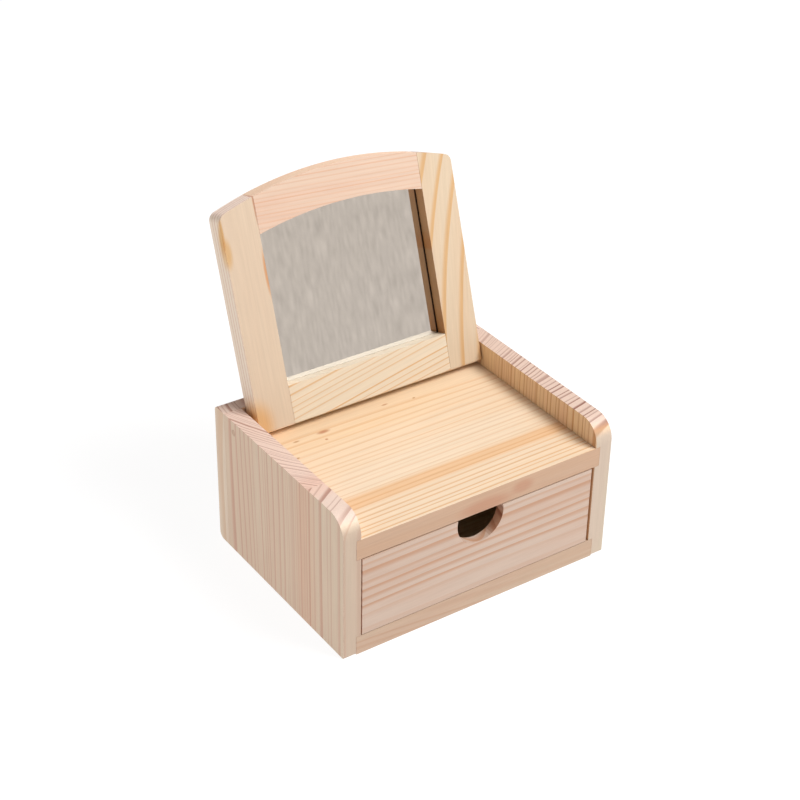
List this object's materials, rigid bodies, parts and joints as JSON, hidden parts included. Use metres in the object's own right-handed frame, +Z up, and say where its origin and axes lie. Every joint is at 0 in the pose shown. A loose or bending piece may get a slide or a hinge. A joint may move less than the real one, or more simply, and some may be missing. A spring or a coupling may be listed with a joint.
{
  "type": "jewelry box",
  "caption": "Pine jewelry box with one inset drawer under a deck, raised sides, and an arched mirror frame that folds flat onto the deck.",
  "frame": {"origin": "on the floor under the middle of the carcass", "axes": "+Z up, -Y out of the drawer front, +X to the right of a person facing the drawer"},
  "size_m": [0.18, 0.1626, 0.2124],
  "materials": {
    "pine_sides": "planed and sanded, unfinished",
    "pine_pink": "planed and sanded, unfinished",
    "pine_cream": "planed and sanded, unfinished",
    "birch_ply": "sanded",
    "hardboard": "smooth one side",
    "beech_dowel": "turned",
    "filler": "sanded flush",
    "mirror": "silvered float glass",
    "steel": "bright drawn wire"
  },
  "bodies": {
    "carcass": {"back_brad_left_1": "steel", "back_brad_left_2": "steel", "back_brad_left_3": "steel", "back_brad_right_1": "steel", "back_brad_right_2": "steel", "back_brad_right_3": "steel", "back_panel": "pine_sides", "bottom_board": "pine_pink", "bottom_brad_left": "steel", "bottom_brad_right": "steel", "deck_board": "pine_cream", "deck_brad_left": "steel", "deck_brad_right": "steel", "hinge_pin_left": "steel", "hinge_pin_right": "steel", "hinge_plug_left": "filler", "hinge_plug_right": "filler", "side_panel_left": "pine_sides", "side_panel_right": "pine_sides"},
    "drawer": {"drawer_back": "pine_sides", "drawer_bottom": "birch_ply", "drawer_brad_left_front_1": "steel", "drawer_brad_left_front_2": "steel", "drawer_brad_left_rear_1": "steel", "drawer_brad_left_rear_2": "steel", "drawer_brad_right_front_1": "steel", "drawer_brad_right_front_2": "steel", "drawer_brad_right_rear_1": "steel", "drawer_brad_right_rear_2": "steel", "drawer_front": "pine_pink", "drawer_side_left": "pine_sides", "drawer_side_right": "pine_sides"},
    "mirror_frame": {"frame_bottom_rail": "pine_cream", "frame_dowel_left_bottom_1": "beech_dowel", "frame_dowel_left_bottom_2": "beech_dowel", "frame_dowel_left_top_1": "beech_dowel", "frame_dowel_left_top_2": "beech_dowel", "frame_dowel_right_bottom_1": "beech_dowel", "frame_dowel_right_bottom_2": "beech_dowel", "frame_dowel_right_top_1": "beech_dowel", "frame_dowel_right_top_2": "beech_dowel", "frame_stile_left": "pine_sides", "frame_stile_right": "pine_cream", "frame_top_rail": "pine_pink", "glazing_point_bottom": "steel", "glazing_point_left_1": "steel", "glazing_point_left_2": "steel", "glazing_point_right_1": "steel", "glazing_point_right_2": "steel", "glazing_point_top": "steel", "mirror_backing": "hardboard", "mirror_glass": "mirror"}
  },
  "joints": [
    {"name": "drawer_slide", "type": "slide", "parent": "carcass", "child": "drawer", "axis": [0, -1, 0], "range_m": [0, 0.095]},
    {"name": "mirror_hinge", "type": "hinge", "parent": "carcass", "child": "mirror_frame", "pos_m": [0, 0.04665, 0.0838], "axis": [1, 0, 0], "range_deg": [0, 108]}
  ]
}
